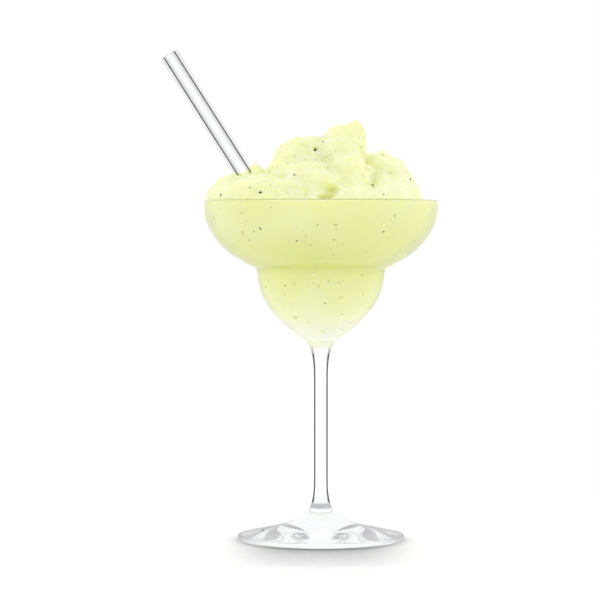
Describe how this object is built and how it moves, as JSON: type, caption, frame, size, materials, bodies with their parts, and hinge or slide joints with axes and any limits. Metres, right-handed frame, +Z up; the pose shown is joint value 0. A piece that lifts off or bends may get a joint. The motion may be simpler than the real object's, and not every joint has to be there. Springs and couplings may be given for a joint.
{
  "type": "frozen margarita in a stemmed glass",
  "caption": "Stemmed two-step cocktail glass heaped with pale yellow-green slush, with a clear drinking straw standing in it.",
  "frame": {"origin": "centre of the underside of the foot, on the axis of the glass", "axes": "+Z up along the stem, +X to the right seen from the front, -Y towards the front; the straw leans towards -X"},
  "size_m": [0.1369, 0.1162, 0.2427],
  "materials": {
    "glass": "clear, polished",
    "slush": "wet crushed ice, soft and slightly see-through",
    "straw": "clear, polished ends"
  },
  "bodies": {
    "root": {"glass": "glass", "drink": "slush", "straw": "straw"}
  },
  "joints": []
}
